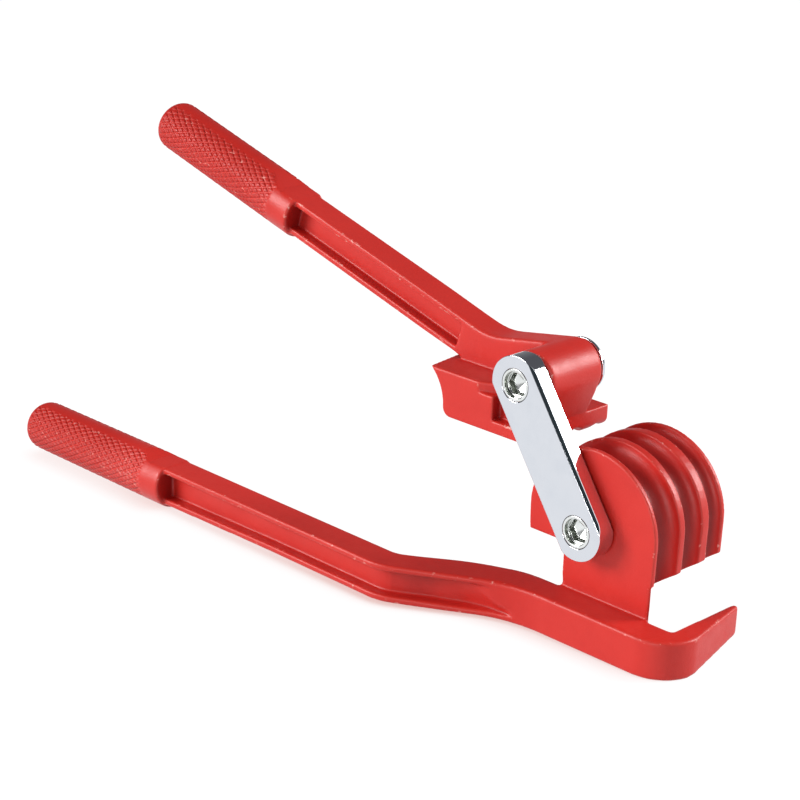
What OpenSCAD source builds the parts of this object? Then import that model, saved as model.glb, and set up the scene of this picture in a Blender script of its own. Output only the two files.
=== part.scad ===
// Three-groove hand tube bender. A base handle carries a grooved mandrel and a hook,
// a second handle carries a grooved shoe, and one link plate joins the two on pivots.
// X runs along the base bar towards the hook, Y away from the link, Z up.
// The origin is on the underside of the bar, below the mandrel's pivot axis.

/* [Tubes] */
// Tube that fits the groove next to the link
tube_1_d = 10; // [8:0.5:12]
// Tube that fits the middle groove
tube_2_d = 8; // [6:0.5:10]
// Tube that fits the far groove
tube_3_d = 6; // [4:0.5:8]
// Room round each tube in its half-round groove
groove_clear = 0.1; // [0:0.05:0.3]

/* [Mandrel] */
// Bend radius at the tube's centre line, which is the radius over the ribs
mandrel_r = 24; // [20:0.5:30]
// Rim on the link's side
rim_near = 1.8; // [1.2:0.1:3]
// Rib between the first and second groove
rib_1 = 2.6; // [1.5:0.1:5]
// Rib between the second and third groove
rib_2 = 3.4; // [1.5:0.1:5]
// Rim on the far side
rim_far = 1.6; // [1.2:0.1:3]
// Straight side below the axis, towards the hook, at the rim on the link's side
skirt_hook = 12; // [9.5:0.1:14]
// How far that side's lower end rises towards the far rim
skirt_rise = 1.6; // [0.6:0.1:2.4]
// Straight side below the axis, towards the grip
skirt_grip = 8.2; // [7:0.1:14]
// How far the straight sides draw in towards their lower ends
skirt_in = 0.4; // [0:0.1:1]
// Slope under the ribs' ends, where tubes leave towards the hook
run_out_angle = 33; // [20:1:40]
// Height of the mandrel's axis over the underside of the bar
pivot_h = 35; // [32:0.5:42]

/* [Cheek under the mandrel] */
// From the mandrel's axis to the cheek's edge on the grip side
cheek_left = 9.8; // [6:0.1:14]
// Thickness of the cheek behind the bar
cheek_t = 8.5; // [5:0.1:10]
// From the ribs in to the cheek's free edge
cheek_in = 0.6; // [0.5:0.1:2]
// Bevel on the cheek's free edge
cheek_bevel = 0.6; // [0.3:0.1:1]

/* [Bars of both handles] */
// Width of a handle's bar
bar_w = 11; // [9:0.1:14]
// Height of a handle's bar
bar_h = 12.4; // [11:0.1:15]
// Thickness of the flanges above and below the long pockets
flange_t = 2.1; // [1.6:0.1:4]
// Thickness of the web between the two pockets
web_t = 3; // [2:0.1:5]
// How much deeper the base bar is where it meets its grip
bar_taper = 0.9; // [0.3:0.1:1.2]
// Length over which the base bar grows deeper
taper_len = 54; // [40:1:80]

/* [Double bend of the base bar] */
// Sideways step from the mandrel to the grip
side_step = 21; // [15:0.5:26]
// Angle of the slanted stretch
bend_angle = 30; // [20:1:40]
// Radius of both bends at the bar's middle
bend_r = 14; // [10:0.5:20]
// From the mandrel's axis to the corner of the second bend
bend_x = 21.6; // [18:0.1:26]
// Depth of the pocket on the link's side where it ends at the second bend
pocket_end = 0.7; // [0.4:0.1:1.5]

/* [Hook] */
// Gap between the mandrel's ribs and the hook
throat = 8.4; // [7:0.1:12]
// Length of the hook behind the bar
hook_len = 30.5; // [26:0.5:34]
// Thickness of the hook at its root
hook_root = 7.6; // [6:0.1:10]
// Thickness of the hook at its tip
hook_tip = 2; // [1.5:0.1:4]
// Radius of the outer corner between bar and hook
hook_corner_r = 13; // [8:0.5:14]
// How far the hook's top falls towards its tip
hook_drop = 0.6; // [0.4:0.1:3]
// How far the hook's underside rises towards its tip
hook_rise = 2; // [0.4:0.1:3]

/* [Grips] */
// Diameter of both grips
grip_d = 17.8; // [17.6:0.1:20]
// Rounding at the end of a grip
grip_end_r = 5; // [3:0.1:7]
// Bevel where a grip meets its bar
grip_bevel = 0.5; // [0.3:0.1:1]
// Length of the smooth collar next to the bar, flat on top
collar_len = 8.5; // [6:0.1:12]
// Height of the collar's flat top over the bar
collar_step = 0.15; // [0.15:0.01:0.3]
// From the mandrel's axis to the end of the lower grip
lower_reach = 240.5; // [220:0.5:280]
// Length of the lower grip
lower_grip_len = 79; // [70:0.5:100]
// How far the lower grip's axis lies under the middle of the bar
lower_grip_drop = 0.6; // [0.2:0.1:0.6]
// From the shoe's pivot to the end of the upper grip, along the arm
upper_reach = 195; // [180:0.5:230]
// Length of the upper grip
upper_grip_len = 73.5; // [65:0.5:90]

/* [Shoe and upper arm] */
// From the shoe's pivot down to the shoe's face
shoe_drop = 21.3; // [20.5:0.1:21.8]
// From the shoe's pivot down to the shelf beside the arm
shelf_drop = 6.2; // [5:0.1:8]
// From the shoe's pivot down to the low ledge on the far side
ledge_drop = 14.4; // [13:0.1:16]
// From the shoe's pivot to the heel, along the shoe
heel_len = 35.8; // [30:0.1:40]
// From the shoe's pivot to the toe, along the shoe
toe_len = 3.8; // [3:0.1:6]
// Rounding of the heel and the toe at the shoe's face
shoe_round = 3; // [2:0.1:3.6]
// Radius of the hollow above the heel
heel_hollow_r = 15.5; // [15:0.5:26]
// Slant of the heel, seen from above
heel_slant = 8; // [0:1:20]
// Depth of the recess behind the link
recess_depth = 4; // [2:0.1:6]
// From the shoe's pivot to the recess's wall
recess_len = 15; // [13:0.1:20]
// Thickness of the lip below the recess
recess_lip = 4; // [3:0.1:5]
// Length of the ramp that runs into the recess
ramp_len = 7; // [4:0.1:9]
// Height of the shelf's edge over the ramp
ramp_drop = 3.3; // [2:0.1:4]
// Gap between the shoe and the plane of the mandrel's near face
shoe_set = 0.3; // [0.2:0.05:0.8]
// Radius of the round boss at the shoe's pivot
boss_r = 9.1; // [8.5:0.1:10]
// How far the arm is set back behind the boss's near face
arm_set = 12; // [8:0.1:14]
// Angle between the arm and the shoe
arm_angle = 16; // [10:0.5:22]
// From the shoe's pivot to the middle of the arm
arm_offset = 10; // [9:0.1:12]
// From the shoe's pivot to the end of the arm's pockets, along the arm
arm_pocket_from = 40; // [36:0.5:60]
// Rise of the neck's top edge towards the boss
neck_angle = 10; // [5:0.5:14]
// Radius of the hollow where the arm meets the neck
neck_r = 25; // [15:0.5:40]

/* [Link] */
// Distance between the two pivots
link_len = 47; // [46.8:0.1:48.5]
// Width of the link plate
link_w = 18.2; // [17:0.1:20]
// Thickness of the link plate
link_t = 6.5; // [6.2:0.1:9]
// Bevel along the link plate's straight edges
link_bevel = 0.9; // [0.3:0.1:1.5]

/* [Pivot hardware] */
// Diameter of the pivot barrels
barrel_d = 10; // [9:0.1:11]
// Diameter of the barrels' flanges
flange_d = 17.2; // [15:0.1:18]
// Thickness of the barrels' flanges
flange_h = 2; // [1.5:0.1:3]
// Thread diameter of the pivot screws
screw_d = 6; // [5:0.1:6.5]
// Length of thread in a barrel
thread_len = 14; // [8:0.5:16]
// Diameter of the screw heads
head_d = 10.2; // [10:0.1:12]
// Height of the screw heads, which lie flush in the link
head_h = 4.8; // [4:0.1:5]
// Hexagon key that fits the screw heads, across flats
socket_af = 6.6; // [5:0.1:6.8]
// Depth of the hexagon socket
socket_depth = 3.8; // [3:0.1:3.9]
// Diameter of the round mouth in front of a screw's socket
mouth_d = 8.4; // [8.2:0.1:8.8]
// Depth of that mouth
mouth_depth = 1.6; // [0.8:0.1:2.4]
// Thickness of the washer between the link and a casting
washer_t = 0.5; // [0.4:0.1:1]
// Diameter of that washer
washer_d = 16; // [14:0.1:17]
// Thickness of the spring washer under a barrel's flange
spring_t = 0.6; // [0.4:0.1:1]

/* [Fits] */
// Running clearance of a barrel in its bore, on the radius
run_clear = 0.05; // [0.02:0.01:0.1]
// Side play at each face of a casting
side_play = 0.1; // [0.05:0.01:0.3]
// Clearance of screw heads, threads and washers, on the radius
loose_fit = 0.1; // [0.05:0.01:0.2]

/* [Pose] */
// Angle of the link over the line from the mandrel to the hook
link_angle = 124.5; // [90:0.5:160]
// Tilt of the shoe against the bar
shoe_angle = 0; // [-20:1:30]

/* [Hidden] */
$fn = 96;

RED = "#d8343a";
CHROME = "#dfe3ea";
STEEL = "#a9ada6";

// Overlap that joins two shapes, and the reach of a cut past a face
join = 1;
reach = 60;
// An arc is let this far past a line that it blends into, so that the two cross cleanly
blend = 0.003;

// Grooves: widths, radii and places across the mandrel and the shoe
tube_d = [tube_1_d, tube_2_d, tube_3_d];
groove_w = [for (d = tube_d) d + 2 * groove_clear];
groove_y = [
    rim_near + groove_w[0] / 2,
    rim_near + groove_w[0] + rib_1 + groove_w[1] / 2,
    rim_near + groove_w[0] + rib_1 + groove_w[1] + rib_2 + groove_w[2] / 2];
mandrel_w = groove_y[2] + groove_w[2] / 2 + rim_far;

// The near face of the mandrel and of the shoe's boss lies on the bar's far side
face_y = bar_w / 2;
link_gap = washer_t + side_play;
boss_len = arm_set + bar_w;
grip_r = grip_d / 2;
pocket_d = (bar_w - web_t) / 2;

// Double bend in plan: corners and centres of its bends, and a line beside the bar's middle
bend_tan = bend_r * tan(bend_angle / 2);
bend_2 = [-bend_x, 0];
bend_1 = [-bend_x - side_step / tan(bend_angle), -side_step];
centre_1 = bend_1 + [-bend_tan, bend_r];
centre_2 = bend_2 + [bend_tan, -bend_r];
slant_dir = [cos(bend_angle), sin(bend_angle)];
slant_side = [-slant_dir[1], slant_dir[0]];
function corner_off(bend, off) = bend + off * [-tan(bend_angle / 2), 1];
function slant_off(bend, along, off) = bend + along * slant_dir + off * slant_side;
collar_x = -lower_reach + lower_grip_len;

hook_x = mandrel_r + throat;
hook_out = hook_x + hook_root;

// Where the mandrel's middle reaches lower than its ribs
run_x = mandrel_r - skirt_in - groove_w[0] / 2;
run_z = -skirt_hook - groove_w[0] / 2 * tan(run_out_angle);

// Places in the upper handle's own plane: along the shoe, and up from its pivot
function arm_pt(along, up) = [
    -along * cos(arm_angle) + (up - arm_offset) * sin(arm_angle),
    along * sin(arm_angle) + (up - arm_offset) * cos(arm_angle)];
function polar(r, a) = [r * cos(a), r * sin(a)];
neck_top = polar(boss_r - blend, 90 + neck_angle);
toe_corner = [toe_len, -ledge_drop];
toe_span = norm(toe_corner);
neck_right = polar(boss_r - blend, acos(boss_r / toe_span) - acos(toe_len / toe_span));

// Corner between the arm's top and the neck's top, and the hollow that rounds it
arm_top = arm_pt(0, bar_h / 2);
arm_dir = [-cos(arm_angle), sin(arm_angle)];
neck_dir = [cos(neck_angle), sin(neck_angle)];
neck_cross = arm_dir[0] * neck_dir[1] - arm_dir[1] * neck_dir[0];
neck_run = ((neck_top - arm_top)[0] * neck_dir[1] - (neck_top - arm_top)[1] * neck_dir[0]) / neck_cross;
neck_corner = arm_top + neck_run * arm_dir;
neck_half = (180 - arm_angle - neck_angle) / 2;
neck_centre = neck_corner + polar(neck_r / sin(neck_half), neck_angle + neck_half);
neck_tan = neck_r / tan(neck_half);

// Half a grip's outline: rounded end at the bottom, bevel at the top
module grip_profile(length) {
    difference() {
        square([grip_r, length]);
        difference() {
            translate([grip_r - grip_end_r, 0]) square([grip_end_r, grip_end_r]);
            translate([grip_r - grip_end_r, grip_end_r]) circle(grip_end_r);
        }
        polygon([[grip_r - grip_bevel, length], [grip_r, length - grip_bevel], [grip_r, length]]);
    }
}

// A grip along +X, with its rounded end at the origin and its collar flat at the height given
module grip(length, flat) {
    over = grip_r + join - flat;
    difference() {
        rotate([0, 90, 0]) rotate_extrude() grip_profile(length);
        translate([length - collar_len, -grip_d, flat]) plate_y(2 * grip_d)
            polygon([[0, 0], [collar_len + join, 0], [collar_len + join, over], [-0.7 * over, over]]);
    }
}

// A round hole or pin along +Y from the origin
module along_y(r, length) {
    rotate([-90, 0, 0]) cylinder(r = r, h = length);
}

// An outline in X and Z, thickened along +Y from the origin
module plate_y(length) {
    translate([0, length, 0]) rotate([90, 0, 0]) linear_extrude(length) children();
}

// What rounding an outer corner of the bend takes away, from one end of the arc to the other
module bend_trim(centre, r, from, corner, to) {
    difference() {
        polygon([from, corner + (corner - centre) / 4, to, centre]);
        translate(centre) circle(r + blend);
    }
}

// Plan of the bar, from inside the lower grip to the hook
module bar_plan() {
    h = bar_w / 2;
    from = collar_x - grip_bevel - join;
    difference() {
        polygon([[from, -side_step - h], corner_off(bend_1, -h), slant_off(bend_2, -bend_tan, -h), centre_2,
            [centre_2[0], -h], [hook_x - hook_corner_r, -h], [hook_x - hook_corner_r, h],
            corner_off(bend_2, h), slant_off(bend_1, bend_tan, h), centre_1,
            [centre_1[0], h - side_step], [from, h - side_step]]);
        translate(centre_1) circle(bend_r - h + blend);
        translate(centre_2) circle(bend_r - h + blend);
        bend_trim(centre_1, bend_r + h, [centre_1[0], -side_step - h], corner_off(bend_1, -h),
            slant_off(bend_1, bend_tan, -h));
        bend_trim(centre_2, bend_r + h, slant_off(bend_2, -bend_tan, h), corner_off(bend_2, h),
            [centre_2[0], h]);
    }
}

// Plan of the pocket on the link's side, which grows shallow and ends at the second bend
module near_pocket() {
    g = web_t / 2;
    end = [centre_2[0], pocket_end - bar_w / 2];
    out = [0, -bar_w];
    polygon([[collar_x - grip_bevel - 2 * join, -side_step - g], corner_off(bend_1, -g),
        slant_off(bend_1, bend_tan, -g), end, end + out, corner_off(bend_1, -g) + out,
        [collar_x - grip_bevel - 2 * join, -side_step - g] + out]);
    bend_trim(centre_1, bend_r + g, [centre_1[0], -side_step - g], corner_off(bend_1, -g),
        slant_off(bend_1, bend_tan, -g));
}

// Plan of the pocket on the far side, which runs out before the second bend
module far_pocket() {
    g = web_t / 2;
    end = slant_off(bend_2, -bend_tan - 3 * join, bar_w / 2 + join / 5);
    polygon([[collar_x - grip_bevel - 2 * join, g - side_step], [centre_1[0], g - side_step],
        slant_off(bend_1, bend_tan, g), end, end + bar_w * slant_side, centre_1 + [0, bar_w],
        [collar_x - grip_bevel - 2 * join, bar_w - side_step]]);
    translate(centre_1) circle(bend_r - g + blend);
}

// Room under the base bar, whose underside falls towards the grip
module under_bar() {
    back = 2 * reach;
    translate([collar_x + taper_len, -reach, 0]) plate_y(2 * reach)
        polygon([[-back, -back * bar_taper / taper_len], [0, 0], [2 * back, 0], [2 * back, -reach],
            [-back, -reach]]);
}

// A long pocket of the base bar, from its plan
module bar_pocket() {
    translate([0, 0, flange_t]) difference() {
        translate([0, 0, -bar_h / 2]) linear_extrude(1.5 * bar_h - 2 * flange_t) children();
        under_bar();
    }
}

module base_bar() {
    difference() {
        translate([0, 0, -bar_h / 2]) linear_extrude(1.5 * bar_h) union() {
            bar_plan();
            hook_plan();
        }
        under_bar();
        bar_pocket() near_pocket();
        bar_pocket() far_pocket();
        translate([hook_x - join, face_y, bar_h]) rotate([-atan(hook_drop / hook_len), 0, 0])
            cube([hook_root + 2 * join, 2 * hook_len, bar_h]);
        translate([hook_x - join, face_y, 0]) rotate([atan(hook_rise / hook_len), 0, 0])
            translate([0, 0, -bar_h]) cube([hook_root + 2 * join, 2 * hook_len, bar_h]);
    }
}

// Plan of the bar's end, its round corner and the tapered hook
module hook_plan() {
    corner = [hook_out - hook_corner_r, hook_corner_r - bar_w / 2];
    start = hook_x - hook_corner_r - join;
    difference() {
        union() {
            translate(corner) intersection() {
                circle(hook_corner_r);
                translate([0, -hook_corner_r]) square(hook_corner_r);
            }
            translate([start, -bar_w / 2]) square([corner[0] - start, bar_w]);
            polygon([[corner[0], -bar_w / 2 + join], [corner[0], face_y], [hook_x, face_y],
                [hook_x, face_y + hook_len], [hook_x + hook_tip, face_y + hook_len], [hook_out, corner[1]],
                [corner[0] + join, corner[1] - join]]);
        }
        translate([hook_x - reach, face_y]) square([reach, reach]);
    }
}

// The cheek carries the mandrel on the bar and stays clear of the tube beside it
module cheek() {
    edge = mandrel_r - cheek_in;
    translate([0, face_y, 0]) linear_extrude(pivot_h)
        polygon([[-cheek_left, 0], [edge - cheek_bevel, 0], [edge, cheek_bevel],
            [edge + cheek_bevel - cheek_t, cheek_t], [-cheek_left, cheek_t]]);
    translate([-cheek_left, 0, 0]) cube([cheek_left + mandrel_r - cheek_t, face_y + cheek_t / 2, bar_h]);
}

// Half round over the axis, with a straight side on each hand
module mandrel_profile() {
    intersection() {
        circle(mandrel_r);
        translate([-mandrel_r, 0]) square([2 * mandrel_r, mandrel_r]);
    }
    polygon([[-mandrel_r, 0], [skirt_in - mandrel_r, -skirt_grip], [-cheek_left, -skirt_grip], [0, run_z - 1],
        [run_x, run_z - 1], [mandrel_r - skirt_in, -skirt_hook - 1], [mandrel_r, 0]]);
}

// Room under the mandrel, whose lower side rises towards the far rim
module under_mandrel() {
    side = mandrel_r + 1;
    translate([0, 0, -skirt_hook]) rotate([atan(skirt_rise / mandrel_w), 0, 0])
        translate([0, -mandrel_w / 2, skirt_hook]) plate_y(2 * mandrel_w)
        polygon([[-side, -pivot_h], [-side, run_z], [run_x, run_z], [mandrel_r - skirt_in, -skirt_hook],
            [side, -skirt_hook + (1 + skirt_in) * tan(run_out_angle)], [side, -pivot_h]]);
}

// A groove's room: half a ring over the mandrel and a straight run down each side
module mandrel_groove(i) {
    r = groove_w[i] / 2;
    translate([0, face_y + groove_y[i], pivot_h]) {
        rotate([90, 0, 0]) rotate_extrude(angle = 180) translate([mandrel_r, 0]) circle(r);
        translate([mandrel_r, 0, -pivot_h - join]) cylinder(r = r, h = pivot_h + join);
        translate([-mandrel_r, 0, -skirt_grip - join]) cylinder(r = r, h = skirt_grip + join);
    }
}

module base_handle() {
    color(RED) difference() {
        union() {
            base_bar();
            cheek();
            translate([0, face_y, pivot_h]) difference() {
                plate_y(mandrel_w) mandrel_profile();
                under_mandrel();
            }
            translate([-lower_reach, -side_step, bar_h / 2 - lower_grip_drop])
                grip(lower_grip_len, bar_h / 2 + lower_grip_drop + collar_step);
        }
        for (i = [0 : 2]) mandrel_groove(i);
        translate([0, face_y - join, pivot_h]) along_y(barrel_d / 2 + run_clear, mandrel_w + 2 * join);
    }
}

// Places a piece that turns with the link, from the mandrel's axis
module on_link() {
    translate([0, face_y, pivot_h]) rotate([0, -link_angle, 0]) children();
}

// Places a piece that turns with the upper handle, from the shoe's pivot
module on_handle() {
    translate([link_len * cos(link_angle), face_y, pivot_h + link_len * sin(link_angle)])
        rotate([0, -shoe_angle, 0]) children();
}

// Outline of the arm and of the neck between the arm, the boss and the shoe
module arm_profile() {
    arm_end = upper_reach - upper_grip_len + grip_bevel + join;
    difference() {
        polygon([arm_pt(arm_end, bar_h / 2), neck_corner + neck_tan * arm_dir, neck_centre,
            neck_corner + neck_tan * neck_dir, neck_top, neck_right, toe_corner,
            [toe_len - shoe_round, -shoe_drop + shoe_round], [shoe_round - heel_len, -shoe_drop + shoe_round],
            [-heel_len, -shelf_drop - join],
            arm_pt(arm_pocket_from, -bar_h / 2), arm_pt(arm_end, -bar_h / 2)]);
        translate(neck_centre) circle(neck_r + blend);
    }
    circle(boss_r);
}

// Outline of the shoe up to the height given, with a rounded toe
module shoe_profile(top, to_boss) {
    back = heel_len + heel_hollow_r;
    difference() {
        polygon(concat([[-back, -shoe_drop], [-back, -top]],
            to_boss ? [[0, -top], neck_right, toe_corner] : [[toe_len, -top]],
            [[toe_len, -shoe_drop]]));
        translate([toe_len - shoe_round, -shoe_drop]) difference() {
            square(shoe_round);
            translate([0, shoe_round]) circle(shoe_round);
        }
    }
}

// Room behind the heel: a hollow above and a rounded corner at the shoe's face
module heel_cut() {
    pivot = [-heel_len - shoe_round, 0, 0];
    translate(pivot) rotate([0, 0, heel_slant]) translate([0, -reach / 2, 0] - pivot) plate_y(2 * reach) {
        translate([-heel_len - heel_hollow_r, -shoe_drop + shoe_round]) circle(heel_hollow_r);
        difference() {
            translate([-heel_len - 2 * heel_hollow_r, -shoe_drop - join])
                square([shoe_round + 2 * heel_hollow_r, shoe_round + join]);
            translate([shoe_round - heel_len, shoe_round - shoe_drop]) circle(shoe_round + 5 * blend);
        }
    }
}

// Recess behind the link, and the ramp that runs into it from the shelf's edge
module link_recess() {
    translate([-recess_len, -join, recess_lip - shoe_drop])
        cube([recess_len + toe_len + 2 * boss_r, recess_depth + join, shoe_drop]);
    translate([0, 0, -shelf_drop - ramp_drop]) linear_extrude(ramp_drop + join)
        polygon([[-recess_len - ramp_len, 0], [-recess_len - ramp_len, -join], [-recess_len + join, -join],
            [-recess_len + join, recess_depth], [-recess_len, recess_depth]]);
}

module shoe() {
    difference() {
        union() {
            translate([0, shoe_set, 0]) plate_y(boss_len - shoe_set) shoe_profile(shelf_drop, true);
            translate([0, shoe_set, 0]) plate_y(mandrel_w - shoe_set) shoe_profile(ledge_drop, false);
        }
        heel_cut();
        link_recess();
        for (i = [0 : 2]) {
            translate([-reach, groove_y[i], mandrel_r - link_len]) rotate([0, 90, 0])
                cylinder(r = groove_w[i] / 2, h = 2 * reach);
        }
    }
}

module arm() {
    pocket_len = upper_reach - upper_grip_len + grip_bevel + 2 * join - arm_pocket_from;
    difference() {
        translate([0, arm_set, 0]) plate_y(bar_w) arm_profile();
        for (y = [arm_set - join, arm_set + bar_w - pocket_d]) {
            rotate([0, arm_angle, 0])
                translate([-arm_pocket_from - pocket_len, y, flange_t - arm_offset - bar_h / 2])
                cube([pocket_len, pocket_d + join, bar_h - 2 * flange_t]);
        }
    }
}

module upper_handle() {
    color(RED) on_handle() difference() {
        union() {
            shoe();
            along_y(boss_r, boss_len);
            arm();
            rotate([0, arm_angle, 0]) translate([-upper_reach, arm_set + bar_w / 2, -arm_offset])
                grip(upper_grip_len, bar_h / 2 + collar_step);
        }
        translate([0, -join, 0]) along_y(barrel_d / 2 + run_clear, boss_len + 2 * join);
    }
}

// Room beside one long edge of the link plate, cut straight past both round ends
module link_edge_cut() {
    over = link_w / 2 + 1;
    translate([-over, 0, 0]) rotate([90, 0, 90]) linear_extrude(link_len + 2 * over)
        polygon([[-1, link_w / 2 - link_bevel - 1], [link_bevel + 1, link_w / 2 + 1], [-1, link_w / 2 + 1]]);
}

module link_plate() {
    color(CHROME) on_link() translate([0, -link_gap - link_t, 0]) difference() {
        union() {
            for (x = [0, link_len]) {
                translate([x, 0, 0]) along_y(link_w / 2, link_t);
            }
            translate([0, 0, -link_w / 2]) cube([link_len, link_t, link_w]);
        }
        for (side = [0, 1]) {
            mirror([0, 0, side]) link_edge_cut();
            mirror([0, 0, side]) translate([0, link_t, 0]) mirror([0, 1, 0]) link_edge_cut();
        }
        for (x = [0, link_len]) {
            translate([x, -join, 0]) along_y(head_d / 2 + loose_fit, head_h + join);
            translate([x, -join, 0]) along_y(screw_d / 2 + loose_fit, link_t + 2 * join);
        }
    }
}

// A barrel through a casting of the width given: flange on the far side, thread on the link's side
module barrel(width) {
    flange_y = width + side_play + spring_t + side_play;
    difference() {
        rotate([-90, 0, 0]) rotate_extrude() polygon([[0, -link_gap], [barrel_d / 2, -link_gap],
            [barrel_d / 2, flange_y], [flange_d / 2, flange_y],
            [flange_d / 2, flange_y + flange_h / 2], [flange_d / 2 - flange_h / 2, flange_y + flange_h],
            [0, flange_y + flange_h]]);
        translate([0, -link_gap - join, 0]) along_y(screw_d / 2 + loose_fit, thread_len + 2 * join);
        translate([0, flange_y + flange_h - socket_depth, 0]) hex_socket();
    }
}

// A hexagon socket along +Y
module hex_socket() {
    rotate([-90, 0, 0]) cylinder(d = socket_af / cos(30), h = socket_depth + join, $fn = 6);
}

// A screw whose head lies flush in the link's near face
module pivot_screw() {
    head_y = -link_gap - link_t;
    difference() {
        union() {
            translate([0, head_y, 0]) along_y(head_d / 2, head_h);
            translate([0, head_y, 0]) along_y(screw_d / 2, link_t + thread_len);
        }
        translate([0, head_y + socket_depth, 0]) mirror([0, 1, 0]) hex_socket();
        translate([0, head_y - join, 0]) along_y(mouth_d / 2, mouth_depth + join);
    }
}

// A flat ring along +Y round a barrel
module washer(outer_d, thickness) {
    difference() {
        along_y(outer_d / 2, thickness);
        translate([0, -join, 0]) along_y(barrel_d / 2 + loose_fit, thickness + 2 * join);
    }
}

module at_shoe() {
    on_link() translate([link_len, 0, 0]) children();
}

module mandrel_barrel() {
    color(CHROME) on_link() barrel(mandrel_w);
}

module shoe_barrel() {
    color(CHROME) at_shoe() barrel(boss_len);
}

module mandrel_screw() {
    color(STEEL) on_link() pivot_screw();
}

module shoe_screw() {
    color(STEEL) at_shoe() pivot_screw();
}

module mandrel_thrust_washer() {
    color(STEEL) on_link() translate([0, -link_gap, 0]) washer(washer_d, washer_t);
}

module shoe_thrust_washer() {
    color(STEEL) at_shoe() translate([0, -link_gap, 0]) washer(washer_d, washer_t);
}

module mandrel_spring_washer() {
    color(STEEL) on_link() translate([0, mandrel_w + side_play, 0]) washer(washer_d, spring_t);
}

module shoe_spring_washer() {
    color(STEEL) at_shoe() translate([0, boss_len + side_play, 0]) washer(washer_d, spring_t);
}

base_handle();
upper_handle();
link_plate();
mandrel_barrel();
mandrel_screw();
mandrel_thrust_washer();
mandrel_spring_washer();
shoe_barrel();
shoe_screw();
shoe_thrust_washer();
shoe_spring_washer();
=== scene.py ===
import math
from collections import namedtuple

import bpy
import numpy as np
from mathutils import Matrix, Vector


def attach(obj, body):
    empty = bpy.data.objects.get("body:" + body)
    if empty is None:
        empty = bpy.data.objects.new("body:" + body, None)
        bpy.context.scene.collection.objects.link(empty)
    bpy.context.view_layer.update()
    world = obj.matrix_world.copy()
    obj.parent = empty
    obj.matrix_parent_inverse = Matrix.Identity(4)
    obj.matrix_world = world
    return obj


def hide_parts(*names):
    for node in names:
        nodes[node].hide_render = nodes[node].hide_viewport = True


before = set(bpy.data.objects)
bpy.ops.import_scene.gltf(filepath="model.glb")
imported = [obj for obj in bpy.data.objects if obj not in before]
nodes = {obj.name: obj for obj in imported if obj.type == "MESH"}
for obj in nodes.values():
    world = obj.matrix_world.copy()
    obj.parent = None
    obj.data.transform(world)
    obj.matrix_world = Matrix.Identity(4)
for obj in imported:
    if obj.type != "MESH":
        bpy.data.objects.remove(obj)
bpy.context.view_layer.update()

MM = 0.001

# Sizes repeated from the part's source, in millimetres and radians
FACE_Y = 5.5  # half the width of both bars
BAR_H = 12.4
FLANGE_T = 2.1
PIVOT_H = 35.0
LINK_LEN = 47.0
LINK_ANGLE = math.radians(124.5)
ARM_ANGLE = math.radians(16.0)
ARM_OFFSET = 10.0
ARM_SET = 12.0
UPPER_REACH = 195.0
LOWER_REACH = 240.5
SIDE_STEP = 21.0
BEND_ANGLE = math.radians(30.0)
BEND_R = 14.0
BEND_X = 21.6
GRIP_R = 8.9
GRIP_END_R = 5.0
LOWER_GRIP_H = 5.6
SHOE_PIVOT = Vector((LINK_LEN * math.cos(LINK_ANGLE), 0.0, PIVOT_H + LINK_LEN * math.sin(LINK_ANGLE)))

# Each grip: its end, the directions to its bar and up, its knurl's end, and the start and height of its flat
Grip = namedtuple("Grip", "end along up knurl_end flat_from flat")
arm_in = Vector((math.cos(ARM_ANGLE), 0.0, -math.sin(ARM_ANGLE)))
arm_up = Vector((math.sin(ARM_ANGLE), 0.0, math.cos(ARM_ANGLE)))
arm_mid = Vector((0.0, FACE_Y + ARM_SET + FACE_Y, 0.0))
GRIPS = {
    "base_handle": Grip(Vector((-LOWER_REACH, -SIDE_STEP, LOWER_GRIP_H)), Vector((1, 0, 0)), Vector((0, 0, 1)),
                        knurl_end=69.8, flat_from=70.5, flat=6.95),
    "upper_handle": Grip(SHOE_PIVOT + arm_mid - UPPER_REACH * arm_in - ARM_OFFSET * arm_up, arm_in, arm_up,
                         knurl_end=64.3, flat_from=65.0, flat=6.35),
}


# ---- helpers for node materials


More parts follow.
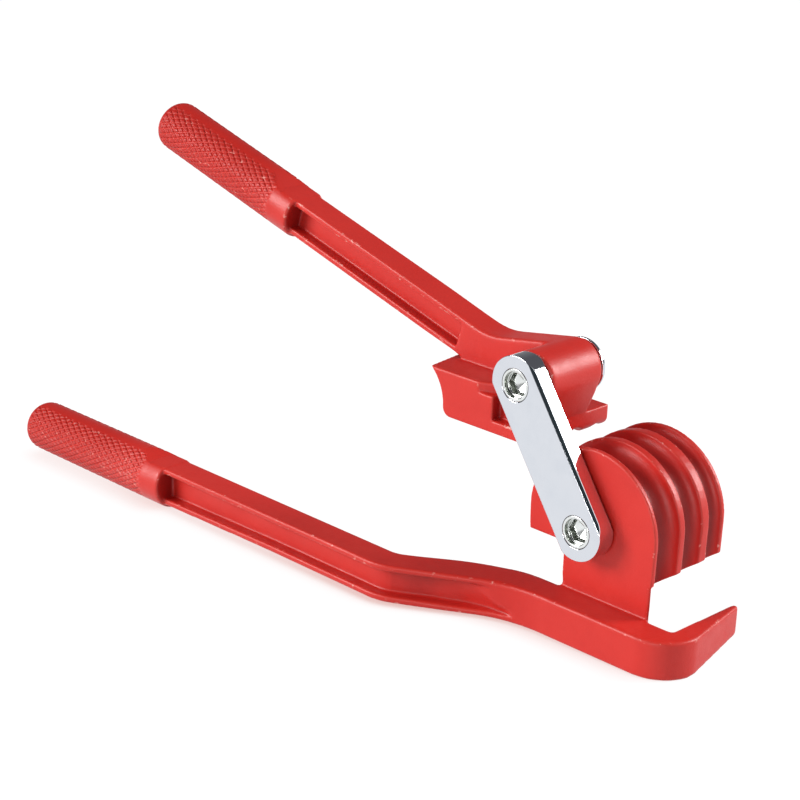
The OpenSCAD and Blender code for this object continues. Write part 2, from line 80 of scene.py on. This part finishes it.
class Graph:
    """Builds a material or world node tree with short calls."""

    def __init__(self, tree):
        self.tree = tree
        tree.nodes.clear()

    def add(self, kind, inputs=None, **attrs):
        node = self.tree.nodes.new(kind)
        for key, value in attrs.items():
            setattr(node, key, value)
        for key, value in (inputs or {}).items():
            self.put(node.inputs[key], value)
        return node

    def put(self, socket, value):
        if hasattr(value, "is_output"):
            self.tree.links.new(value, socket)
        else:
            socket.default_value = value

    def math(self, op, a, b=0.0):
        node = self.add("ShaderNodeMath", operation=op)
        self.put(node.inputs[0], a)
        self.put(node.inputs[1], b)
        return node.outputs[0]

    def times(self, a, b):
        return self.math("MULTIPLY", a, b)

    def mix(self, factor, a, b):
        node = self.add("ShaderNodeMix", data_type="RGBA")
        self.put(node.inputs["Factor"], factor)
        self.put(node.inputs[6], a)
        self.put(node.inputs[7], b)
        return node.outputs[2]

    def span(self, value, lo, hi, to_lo=0.0, to_hi=1.0):
        node = self.add("ShaderNodeMapRange", {"Value": value, "From Min": lo, "From Max": hi,
                                               "To Min": to_lo, "To Max": to_hi})
        return node.outputs["Result"]

    def noise(self, vector, scale, detail=2.0, rough=0.5):
        node = self.add("ShaderNodeTexNoise", {"Vector": vector, "Scale": scale, "Detail": detail,
                                               "Roughness": rough})
        return node.outputs["Fac"]

    def stretched(self, vector, scale):
        return self.add("ShaderNodeMapping", {"Vector": vector, "Scale": scale}).outputs[0]

    def axis(self, vector, name):
        return self.add("ShaderNodeSeparateXYZ", {"Vector": vector}).outputs[name]

    def dot(self, a, b):
        return self.add("ShaderNodeVectorMath", {0: a, 1: b}, operation="DOT_PRODUCT").outputs["Value"]

    def finish(self, shader, kind="ShaderNodeOutputMaterial"):
        self.put(self.add(kind).inputs["Surface"], shader)


def material(name):
    mat = bpy.data.materials.new(name)
    mat.use_nodes = True
    return mat, Graph(mat.node_tree)


# ---- the red coat and the plating

COAT_LOW = (0.67, 0.022, 0.014, 1)
COAT_HIGH = (0.72, 0.028, 0.018, 1)
COAT_CLOUD = (0.60, 0.018, 0.014, 1)
COAT_CREASE_SHADE = (0.17, 0.004, 0.003, 1)
COAT_HOLLOW_SHADE = (0.32, 0.006, 0.005, 1)
COAT_SIDE_SHADE = (0.26, 0.006, 0.005, 1)
COAT_GRIP_TONE = (0.46, 0.014, 0.009, 1)
COAT_RUBBED = (0.82, 0.085, 0.06, 1)
COAT_CHIPPED = (0.90, 0.36, 0.30, 1)
HOLLOW_REACH = 0.010
# Where the grips end, in metres along the upper arm; both handles' grips end near there
GRIP_TONE_FROM, GRIP_TONE_TO = -0.195, -0.170

GAP_SHADE = (0.05, 0.05, 0.05, 1)
GAP_SHADE_REACH = 0.0005
WALL_SHADE_STREAK = (0.46, 0.48, 0.44, 1)


def red_coat():
    """Satin powder coat: drift of colour, orange peel, painted shade in creases, hollows and walls facing along
    the tool, darker grips, rubbed and chipped edges.
    """
    mat, g = material("red_coat")
    at = g.add("ShaderNodeTexCoord").outputs["Object"]
    geometry = g.add("ShaderNodeNewGeometry")
    edge = geometry.outputs["Pointiness"]
    drift = g.noise(at, 28.0, 3.0)
    cloud = g.noise(at, 160.0, 4.0, 0.6)
    peel = g.noise(at, 1300.0, 3.0, 0.6)
    chip = g.noise(at, 420.0, 4.0, 0.65)
    base = g.mix(g.span(drift, 0.35, 0.65), COAT_LOW, COAT_HIGH)
    base = g.mix(g.times(g.span(cloud, 0.45, 0.75), 0.25), base, COAT_CLOUD)
    # Painted shade: concave creases, found by pointiness, are darkened
    base = g.mix(g.span(edge, 0.40, 0.487, 0.9, 0.0), base, COAT_CREASE_SHADE)
    # Painted shade: hollows, found by ambient occlusion, are darkened
    open_sky = g.add("ShaderNodeAmbientOcclusion", {"Distance": HOLLOW_REACH}, samples=6, only_local=True)
    open_sky = open_sky.outputs["AO"]
    base = g.mix(g.span(open_sky, 0.30, 0.74, 0.6, 0.0), base, COAT_HOLLOW_SHADE)
    # Painted shade: walls that face along the tool, towards +X, are darkened where they are enclosed
    facing = g.axis(geometry.outputs["Normal"], "X")
    side_shade = g.times(g.span(facing, 0.35, 0.85), g.span(open_sky, 0.97, 0.75))
    base = g.mix(g.times(side_shade, 0.8), base, COAT_SIDE_SHADE)
    # The grips are a darker red with less gloss
    reach = g.dot(at, arm_in)
    base = g.mix(g.span(reach, GRIP_TONE_FROM, GRIP_TONE_TO, 0.5, 0.0), base, COAT_GRIP_TONE)
    gloss = g.span(reach, GRIP_TONE_FROM, GRIP_TONE_TO, 0.3, 0.5)
    base = g.mix(g.times(g.span(edge, 0.51, 0.55), 0.5), base, COAT_RUBBED)
    chipped = g.times(g.span(edge, 0.507, 0.522), g.span(chip, 0.61, 0.66))
    base = g.mix(chipped, base, COAT_CHIPPED)
    rough = g.span(cloud, 0.3, 0.7, 0.36, 0.46)
    bump = g.add("ShaderNodeBump", {"Strength": 0.3, "Distance": 0.0002, "Height": peel})
    shader = g.add("ShaderNodeBsdfPrincipled", {"Base Color": base, "Roughness": rough, "IOR": 1.5,
                                                "Specular IOR Level": gloss, "Normal": bump.outputs[0]})
    g.finish(shader.outputs[0])
    return mat


def plated(name, colour, dark, rough, brushed=0.0, wall=None):
    """Bright plated steel with faint haze, hairlines and a slightly wavy surface, with painted shade in narrow
    gaps and, where a wall colour is given, on the walls of bores.
    """
    mat, g = material(name)
    at = g.add("ShaderNodeTexCoord").outputs["Object"]
    hair = g.noise(g.stretched(at, (90.0, 1200.0, 2600.0)), 1.0, 3.0, 0.6)
    haze = g.noise(at, 140.0, 4.0, 0.6)
    wave = g.noise(at, 60.0, 1.0)
    tint = g.mix(g.times(g.span(haze, 0.45, 0.75), 0.5), colour, dark)
    # Painted shade: faces turned across the Y axis, the walls of bores, take the darker, streaked wall colour
    if wall:
        normal = g.add("ShaderNodeNewGeometry").outputs["Normal"]
        across = g.math("ABSOLUTE", g.axis(normal, "Y"))
        streak = g.noise(g.stretched(at, (1500.0, 120.0, 1500.0)), 1.0)
        shaded_wall = g.mix(g.span(streak, 0.35, 0.65), wall, WALL_SHADE_STREAK)
        tint = g.mix(g.span(across, 0.3, 0.75), shaded_wall, tint)
    # Painted shade: narrow gaps are darkened by ambient occlusion
    clear = g.add("ShaderNodeAmbientOcclusion", {"Distance": GAP_SHADE_REACH}, samples=8).outputs["AO"]
    tint = g.mix(g.span(clear, 0.25, 0.8), GAP_SHADE, tint)
    hair_depth = 0.05 + brushed
    base_rough = g.span(haze, 0.3, 0.75, rough * 0.75, rough * 1.35)
    roughness = g.math("ADD", base_rough, g.times(g.span(hair, 0.55, 0.8), hair_depth))
    height = g.math("ADD", g.times(wave, 0.8), g.times(hair, hair_depth))
    bump = g.add("ShaderNodeBump", {"Strength": 0.12, "Distance": 0.0002, "Height": height})
    shader = g.add("ShaderNodeBsdfPrincipled", {"Base Color": tint, "Metallic": 1.0, "Roughness": roughness,
                                                "Normal": bump.outputs[0]})
    g.finish(shader.outputs[0])
    return mat


RED = red_coat()
CHROME = plated("chrome", (0.78, 0.80, 0.84, 1), (0.72, 0.75, 0.80, 1), 0.07)
# The last colour is the painted shade of the screws' bored walls
ZINC = plated("screw_steel", (0.90, 0.92, 0.90, 1), (0.74, 0.77, 0.72, 1), 0.2, 0.06, (0.22, 0.24, 0.21, 1))


# ---- finely divided copies of the CAD pieces, with soft edges


def ease(a, b, x):
    """Rises smoothly from 0 at a to 1 at b."""
    t = np.clip((x - a) / (b - a), 0.0, 1.0)
    return t * t * (3 - 2 * t)


def new_piece(name, mesh, body, mat):
    obj = bpy.data.objects.new(name, mesh)
    bpy.context.scene.collection.objects.link(obj)
    mesh.materials.clear()
    mesh.materials.append(mat)
    mesh.polygons.foreach_set("use_smooth", np.ones(len(mesh.polygons), dtype=bool))
    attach(obj, body)
    return obj


def remeshed(node, voxel):
    """The mesh of a CAD piece in even cells of the size given."""
    work = bpy.data.objects.new(node + "_work", nodes[node].data.copy())
    bpy.context.scene.collection.objects.link(work)
    modifier = work.modifiers.new("remesh", "REMESH")
    modifier.mode = "VOXEL"
    modifier.voxel_size = voxel * MM
    graph = bpy.context.evaluated_depsgraph_get()
    mesh = bpy.data.meshes.new_from_object(work.evaluated_get(graph))
    data = work.data
    bpy.data.objects.remove(work)
    bpy.data.meshes.remove(data)
    return mesh


def points(mesh, what="co"):
    values = np.empty(len(mesh.vertices) * 3)
    mesh.vertices.foreach_get(what, values)
    return values.reshape(-1, 3)


def relax(co, edges, weight, rounds):
    """Moves each point towards its neighbours' middle, by its own weight."""
    a, b = edges[:, 0], edges[:, 1]
    count = np.bincount(edges.ravel(), minlength=len(co))
    for _ in range(rounds):
        for axis in range(co.shape[1]):
            line = co[:, axis]
            total = np.bincount(a, line[b], len(co)) + np.bincount(b, line[a], len(co))
            co[:, axis] = line + weight * (total / count - line)
    return co


SOFT_ROUNDS = 30
TRIAL_ROUNDS = 6
TRIAL_BLUR = 4
HOLLOW_KEEP = 0.85  # share of the rounding that hollow corners are spared


def softened(node, voxel, softness):
    """A CAD piece's mesh in fine cells, its edges rounded by the reach that softness gives at each point."""
    mesh = remeshed(node, voxel)
    co = points(mesh)
    edges = np.empty(len(mesh.edges) * 2, dtype=np.int32)
    mesh.edges.foreach_get("vertices", edges)
    edges = edges.reshape(-1, 2)
    weight = 2.0 * (softness(*(co.T / MM)) / voxel) ** 2 / SOFT_ROUNDS
    # A short trial tells the hollow corners, which it fills, from the edges; they keep more of their shape
    trial = relax(co.copy(), edges, 0.5, TRIAL_ROUNDS)
    filled = np.einsum("ij,ij->i", trial - co, points(mesh, "normal")) / (voxel * MM)
    filled = relax(filled[:, None], edges, 0.5, TRIAL_BLUR)[:, 0]
    weight = weight * (1.0 - HOLLOW_KEEP * ease(0.02, 0.14, filled))
    mesh.vertices.foreach_set("co", relax(co, edges, weight, SOFT_ROUNDS).ravel())
    return mesh


# ---- the two castings, with soft cast edges and knurled grips

CAST_VOXEL = 0.32
EDGE_REACH = 0.50  # rounding along the bars
END_REACH = 0.35  # how much further it reaches at the hook, neck and boss
RIB_REACH = 0.26
SHOE_REACH = 0.36


def base_softness(x, y, z):
    """Reach of the rounding on the base handle: crisp ribs, soft bar end and hook."""
    bar = EDGE_REACH + END_REACH * ease(-45.0, -20.0, x)
    return bar + (RIB_REACH - bar) * ease(13.0, 17.0, z) * ease(3.0, 5.0, y)


def handle_softness(x, y, z):
    """Reach of the rounding on the upper handle: crisp shoe, soft neck and boss."""
    along = (x - SHOE_PIVOT.x) * math.cos(ARM_ANGLE) - (z - SHOE_PIVOT.z) * math.sin(ARM_ANGLE)
    neck = EDGE_REACH + END_REACH * ease(-58.0, -38.0, along)
    low = 1.0 - ease(-8.0, -4.0, z - SHOE_PIVOT.z)
    return neck + (SHOE_REACH - neck) * low * ease(-60.0, -50.0, along)


LONG_BEND_R = 45.0  # radius of the drawn-out bend on the bar's near face
BOW = 1.6  # how far the slanted stretch bulges on its far face
BOW_FROM, BOW_LEN = -58.0, 38.0
WEB_SIDE = 5.0  # what lies less deep than this behind the near face belongs to the near pocket
DEEPER = 0.45  # share by which the near pocket grows deeper along the slanted stretch
TIP_DEPTH = 1.2  # extra depth of the near pocket's lower corner, towards its tip


def bend_line(x, off, r):
    """Y against X of a line beside the base bar's middle, rounded at the second bend by the radius given."""
    turn = math.tan(BEND_ANGLE / 2)
    corner = -BEND_X - off * turn
    start, stop = corner - r * turn * math.cos(BEND_ANGLE), corner + r * turn
    arc = off - r + np.sqrt(np.maximum(0.0, r**2 - (x - stop)**2))
    return np.where(x < start, off + math.tan(BEND_ANGLE) * (x - corner), np.where(x < stop, arc, off))


def long_bend(co):
    """Draws the base bar's second bend out into one long curve, in which the near pocket runs out."""
    x, y, z = co.T / MM
    near = bend_line(x, -FACE_Y, BEND_R - FACE_Y)
    depth = y - near
    in_bar = (x > -60.0) & (x < 0.0) & (z < 13.0) & (depth > -1.5) & (depth < 16.0)
    # The pocket stays deep longer, and its lower corner runs out last
    pocket_h = BAR_H - 2 * FLANGE_T
    lift = np.clip((z - FLANGE_T) / pocket_h, 0.0, 1.0)
    run_out = ease(-25.0 - 9.0 * lift, -18.2 - 4.0 * lift, x)
    floor = (1.0 + DEEPER * ease(-54.0, -40.0, x)) * (1.0 - run_out)
    between = ease(0.7, 1.6, z) * (1.0 - ease(10.8, 11.7, z))
    tip_top = BAR_H - FLANGE_T - 5.5 * ease(-36.0, -18.0, x)
    tip = ease(-42.0, -32.0, x) * (1.0 - ease(-23.0, -17.0, x))
    tip = tip * ease(1.7, 2.5, z) * (1.0 - ease(2.6, tip_top, z))
    depth = np.where(depth < WEB_SIDE, depth * (1.0 + (floor - 1.0) * between) + TIP_DEPTH * tip, depth)
    inner = bend_line(x, -FACE_Y, LONG_BEND_R) - near
    outer = BOW * np.sin(math.pi * np.clip((x - BOW_FROM) / BOW_LEN, 0.0, 1.0))**2
    across = np.clip(depth / (2 * FACE_Y), 0.0, 1.0)
    moved = near + depth + inner + (outer - inner) * across
    return np.stack([x, np.where(in_bar, moved, y), z], -1) * MM


CROWN_SLOPE = 0.3
SKIN_DRAW = 0.8  # how far the casting's skin is drawn in under the knurled sleeve
END_DRAW = 0.9  # the same at the grip's end
CROWN_DRAW = 0.3  # and under the sleeve's crown


def crown(s, grip):
    """Height of a grip's top above its axis where it falls to the bar's flat."""
    return grip.flat + np.clip(grip.flat_from - s, 0, None) * CROWN_SLOPE


def soft_casting(node, body, softness):
    """A copy of a CAD casting with its edges softened as the mould and the coat leave them."""
    mesh = softened(node, CAST_VOXEL, softness)
    co = points(mesh)
    if node == "base_handle":
        co = long_bend(co)
    # The grip's skin is drawn in under the knurled sleeve
    grip = GRIPS[node]
    end, along, up = np.array(grip.end) * MM, np.array(grip.along), np.array(grip.up)
    s = (co - end) @ along / MM
    axis = end + np.outer(s, along) * MM
    arm = co - axis
    dist = np.linalg.norm(arm, axis=1, keepdims=True) / MM
    in_grip = (s < grip.knurl_end + 3.5) & (dist[:, 0] < GRIP_R + 1.0)
    draw = np.where(in_grip, 1.0 - ease(grip.knurl_end + 0.4, grip.knurl_end + 2.35, s), 0.0)[:, None]
    at_end = np.where(s[:, None] < 1.5, 1.0, 0.0)
    co = axis + arm * (1.0 - SKIN_DRAW * draw / np.maximum(dist, 1.0)) + at_end * draw * along * END_DRAW * MM
    rise = (co - axis) @ up / MM
    over = np.where(in_grip, np.clip(rise - crown(s, grip) + CROWN_DRAW * draw[:, 0], 0, None), 0.0)
    co -= np.outer(over, up) * MM
    mesh.vertices.foreach_set("co", co.ravel())
    piece = new_piece(node + "_cast", mesh, body, RED)
    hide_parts(node)


KNURL_PITCH = 3.9
KNURL_ROWS = 26
KNURL_DEPTH = 0.4
KNURL_STEP = 0.21
SLEEVE_TURNS = 264
SLEEVE_PAST = 2.4  # how far the sleeve runs on past its knurl
DOME_STEPS = 16
SEAM_FROM, SEAM_TO = math.cos(math.radians(21)), math.cos(math.radians(16))


def knurled_sleeve(node, body):
    """The grip's surface from its rounded end to its collar, with diamonds cut into both sides."""
    grip = GRIPS[node]
    end, along, up = np.array(grip.end), np.array(grip.along), np.array(grip.up)
    side = np.array(grip.along.cross(grip.up))
    last = grip.knurl_end + SLEEVE_PAST
    dome = [GRIP_END_R * (1 - math.cos(a)) for a in np.linspace(0.04, math.pi / 2, DOME_STEPS)]
    s = np.concatenate([[0.0, 0.0], dome[:-1], np.arange(GRIP_END_R, last, KNURL_STEP), [last]])
    end_r = GRIP_R - GRIP_END_R
    r = end_r + np.sqrt(np.maximum(0.0, GRIP_END_R**2 - np.clip(GRIP_END_R - s, 0, None)**2))
    r[0] = 0.02
    r[1] = end_r - 0.2
    r -= 0.03 * ease(grip.knurl_end + 1.4, last, s)
    angle = np.linspace(0, 2 * math.pi, SLEEVE_TURNS, endpoint=False)
    S, A = np.meshgrid(s, angle, indexing="ij")

    # Two families of fine V grooves that cross; none along the mould's seams, above and below
    def groove(sign):
        phase = S / KNURL_PITCH + sign * KNURL_ROWS * A / (2 * math.pi)
        near = np.abs(phase - np.round(phase))
        return 1.0 - ease(0.02, 0.24, near)

    cut = np.maximum(groove(1), groove(-1))
    mask = ease(2.8, 4.4, S) * (1 - ease(grip.knurl_end - 2.0, grip.knurl_end, S))
    mask *= 1 - ease(SEAM_FROM, SEAM_TO, np.abs(np.sin(A)))
    rr = r[:, None] - KNURL_DEPTH * cut * mask
    rr = np.where(np.sin(A) > 0.1, np.minimum(rr, crown(S, grip) / np.maximum(np.sin(A), 0.1)), rr)
    ring = np.cos(A)[..., None] * side + np.sin(A)[..., None] * up
    co = (end + S[..., None] * along + rr[..., None] * ring) * MM
    i = np.arange(len(s) - 1)[:, None] * SLEEVE_TURNS
    j = np.arange(SLEEVE_TURNS)[None, :]
    k = (j + 1) % SLEEVE_TURNS
    quads = np.stack([i + j, i + k, i + SLEEVE_TURNS + k, i + SLEEVE_TURNS + j], -1).reshape(-1, 4)
    mesh = bpy.data.meshes.new(node + "_knurl")
    mesh.from_pydata(co.reshape(-1, 3).tolist(), [], quads.tolist())
    mesh.update()
    new_piece(node + "_knurl", mesh, body, RED)


for name, body, softness in (("base_handle", "base", base_softness), ("upper_handle", "handle", handle_softness)):
    soft_casting(name, body, softness)
    knurled_sleeve(name, body)

# ---- the plated pieces, with eased edges; the washers stay as they are

SOCKET_R = 3.25
SOCKET_DEPTH = 5.0
DRILL_SLOPE = 0.36
HEAD_FROM = 4.6  # the rim of a screw's head lies further out than this


def eased(node, slot, mat, voxel, reach, head_reach=None):
    """A fine copy of a plated piece of the link, its sharp edges rounded off a little."""
    pivot = SHOE_PIVOT if node == "shoe_screw" else Vector((0.0, 0.0, PIVOT_H))
    mesh = softened(node, voxel, lambda x, y, z: np.where(
        np.hypot(x - pivot.x, z - pivot.z) > HEAD_FROM, head_reach or reach, reach))
    if slot == "screw_steel":
        # The drill's point shows in the socket's floor
        co = points(mesh)
        r = np.hypot(co[:, 0] / MM - pivot.x, co[:, 2] / MM - pivot.z)
        floor = (r < SOCKET_R) & (co[:, 1] < co[:, 1].min() + SOCKET_DEPTH * MM)
        co[:, 1] += np.where(floor, (SOCKET_R - r) * DRILL_SLOPE * MM, 0.0)
        mesh.vertices.foreach_set("co", co.ravel())
    piece = new_piece(node + "_eased", mesh, "link", mat)
    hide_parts(node)


eased("link_plate", "chrome", CHROME, 0.125, 0.1)
eased("mandrel_barrel", "chrome", CHROME, 0.2, 0.14)
eased("shoe_barrel", "chrome", CHROME, 0.2, 0.14)
eased("mandrel_screw", "screw_steel", ZINC, 0.12, 0.07, 0.2)
eased("shoe_screw", "screw_steel", ZINC, 0.12, 0.07, 0.2)

for name, node in nodes.items():
    if name in GRIPS:
        mat = RED
    elif name in ("link_plate", "mandrel_barrel", "shoe_barrel"):
        mat = CHROME
    else:
        mat = ZINC
    node.data.materials.clear()
    node.data.materials.append(mat)

# ---- camera at the photograph's angle

SENSOR = 36.0
FOCAL_PIXELS = 1966.1
PICTURE_PIXELS = 800.0
AZIMUTH, ELEVATION, ROLL = math.radians(44.049), math.radians(19.739), math.radians(2.046)
EYE = Vector((332.28, -426.88 + FACE_Y, 230.64 + PIVOT_H)) * MM

cam_data = bpy.data.cameras.new("camera")
camera = bpy.data.objects.new("camera", cam_data)
bpy.context.scene.collection.objects.link(camera)
bpy.context.scene.camera = camera
cam_data.sensor_width = SENSOR
cam_data.lens = FOCAL_PIXELS * SENSOR / PICTURE_PIXELS
cam_data.clip_start = 0.01
cam_data.clip_end = 20.0
right = Vector((math.cos(AZIMUTH), math.sin(AZIMUTH), 0.0))
toward = Vector((math.sin(AZIMUTH) * math.cos(ELEVATION), -math.cos(AZIMUTH) * math.cos(ELEVATION),
                 math.sin(ELEVATION)))
upward = toward.cross(right)
cam_x = math.cos(ROLL) * right + math.sin(ROLL) * upward
cam_y = math.cos(ROLL) * upward - math.sin(ROLL) * right
camera.matrix_world = Matrix.Translation(EYE) @ Matrix((cam_x, cam_y, toward)).transposed().to_4x4()

# ---- floor

# The tool rests on its hook's root and on its lower grip's collar, so the floor is tilted a little
HOOK_ROOT_X = 36.0
COLLAR_X = -165.0
COLLAR_DROP = 3.3
FLOOR_FAR = 6.0
FLOOR_GAP = 0.00005
PAPER_LOW, PAPER_HIGH = (0.56, 0.56, 0.57, 1), (0.60, 0.60, 0.60, 1)
WHITE = (1.0, 1.0, 1.0, 1)
SHADE = (0.74, 0.42, 0.38, 1)
SHADE_REACH = 0.0105
SHADE_LEAN = (1.1, 1.36, 0.0)

slope = COLLAR_DROP / (HOOK_ROOT_X - COLLAR_X)
floor_mesh = bpy.data.meshes.new("floor")
corners = ((-FLOOR_FAR, -FLOOR_FAR), (FLOOR_FAR, -FLOOR_FAR), (FLOOR_FAR, FLOOR_FAR), (-FLOOR_FAR, FLOOR_FAR))
floor_mesh.from_pydata([(x, y, (x - HOOK_ROOT_X * MM) * slope - FLOOR_GAP) for x, y in corners], [],
                       [(0, 1, 2, 3)])
floor = bpy.data.objects.new("floor", floor_mesh)
bpy.context.scene.collection.objects.link(floor)
floor_mat, g = material("pale_floor")
path = g.add("ShaderNodeLightPath")
geometry = g.add("ShaderNodeNewGeometry")
at = geometry.outputs["Position"]
paper = g.mix(g.span(g.noise(at, 40.0, 2.0), 0.3, 0.7), PAPER_LOW, PAPER_HIGH)
bounce = g.add("ShaderNodeBsdfDiffuse", {"Color": paper}).outputs[0]
# Where the tool stands between the floor and the light from behind, the white floor is shaded and takes its red
lean = g.add("ShaderNodeVectorMath", {0: geometry.outputs["Normal"], 1: SHADE_LEAN}, operation="ADD")
lean = g.add("ShaderNodeVectorMath", {0: lean.outputs[0]}, operation="NORMALIZE").outputs[0]
free = g.add("ShaderNodeAmbientOcclusion", {"Distance": SHADE_REACH, "Normal": lean}, samples=16).outputs["AO"]
# The shade is strongest under the middle of the bar, which stands clear of the floor
along_tool = g.axis(at, "X")
dim = g.math("POWER", g.span(free, 0.86, 0.2), 2.0)
dim = g.times(dim, g.span(along_tool, -0.20, -0.08, 0.45, 1.35))
dim = g.times(dim, g.span(along_tool, -0.05, 0.04, 1.0, 0.35))
glow = g.add("ShaderNodeEmission", {"Color": g.mix(dim, WHITE, SHADE), "Strength": 0.92}).outputs[0]
grey = g.add("ShaderNodeBsdfDiffuse", {"Color": (0.16, 0.16, 0.16, 1)}).outputs[0]
lit = g.add("ShaderNodeAddShader", {0: grey, 1: glow}).outputs[0]
mirrored = g.add("ShaderNodeEmission", {"Color": (0.92, 0.93, 0.95, 1), "Strength": 1.0}).outputs[0]
seen = g.add("ShaderNodeMixShader", {"Fac": path.outputs["Is Glossy Ray"], 1: bounce, 2: mirrored}).outputs[0]
seen = g.add("ShaderNodeMixShader", {"Fac": path.outputs["Is Camera Ray"], 1: seen, 2: lit}).outputs[0]
g.finish(seen)
floor_mesh.materials.append(floor_mat)

# ---- lights and world


def softbox(name, target, distance, direction, size, power):
    """A rectangular lamp that faces its target, seen from there in the direction given."""
    data = bpy.data.lights.new(name, "AREA")
    data.shape = "RECTANGLE"
    data.size, data.size_y = size
    data.energy = power
    lamp = bpy.data.objects.new(name, data)
    bpy.context.scene.collection.objects.link(lamp)
    lamp.location = target + distance * Vector(direction)
    lamp.rotation_mode = "QUATERNION"
    lamp.rotation_quaternion = (target - lamp.location).to_track_quat("-Z", "Y")
    lamp.visible_camera = False


MIDDLE = Vector((-0.09, 0.0, 0.05))
HOOK = Vector((0.03, 0.0, 0.03))
softbox("left_box", MIDDLE, 3.2, (-0.54, -0.75, 0.37), (1.7, 1.4), 84.0)
softbox("right_box", MIDDLE, 1.6, (0.57, 0.70, 0.43), (0.5, 0.7), 21.0)
softbox("front_card", HOOK, 1.3, (0.38, -0.91, 0.16), (0.32, 0.28), 3.4)

ROOM_LOW, ROOM_HIGH = (0.10, 0.10, 0.105, 1), (0.28, 0.28, 0.29, 1)
MIRROR_LOW, MIRROR_HIGH = (0.30, 0.30, 0.31, 1), (0.10, 0.10, 0.11, 1)
DARK_SIDE, DARK_SIDE_AT = (0.03, 0.04, 0.045, 1), Vector((0.545, -0.72, 0.43)).normalized()
BOARD, BOARD_AT = (1.2, 1.2, 1.2, 1), Vector((0.88, 0.05, 0.47)).normalized()

world = bpy.data.worlds.new("studio")
bpy.context.scene.world = world
world.use_nodes = True
g = Graph(world.node_tree)
path = g.add("ShaderNodeLightPath")
look = g.add("ShaderNodeTexCoord").outputs["Generated"]


def disc(centre, outer, inner):
    """1 inside a disc of the sky, 0 outside it, from its outer and inner radius in degrees."""
    return g.span(g.dot(look, centre), math.cos(math.radians(outer)), math.cos(math.radians(inner)))


height = g.axis(look, "Z")
room = g.mix(g.span(height, -0.3, 0.9), ROOM_LOW, ROOM_HIGH)
# The dark side of the room, behind the camera, shows only in polished metal
mirror = g.mix(g.span(height, -0.2, 0.6), MIRROR_LOW, MIRROR_HIGH)
mirror = g.mix(disc(DARK_SIDE_AT, 26, 15), mirror, DARK_SIDE)
# A white board on the right shows in the edges that face it
mirror = g.mix(disc(BOARD_AT, 30, 22), mirror, BOARD)
colour = g.mix(path.outputs["Is Glossy Ray"], room, mirror)
colour = g.mix(path.outputs["Is Camera Ray"], colour, WHITE)
background = g.add("ShaderNodeBackground", {"Color": colour, "Strength": 1.0})
g.finish(background.outputs[0], "ShaderNodeOutputWorld")

bpy.context.scene.view_settings.view_transform = "Standard"
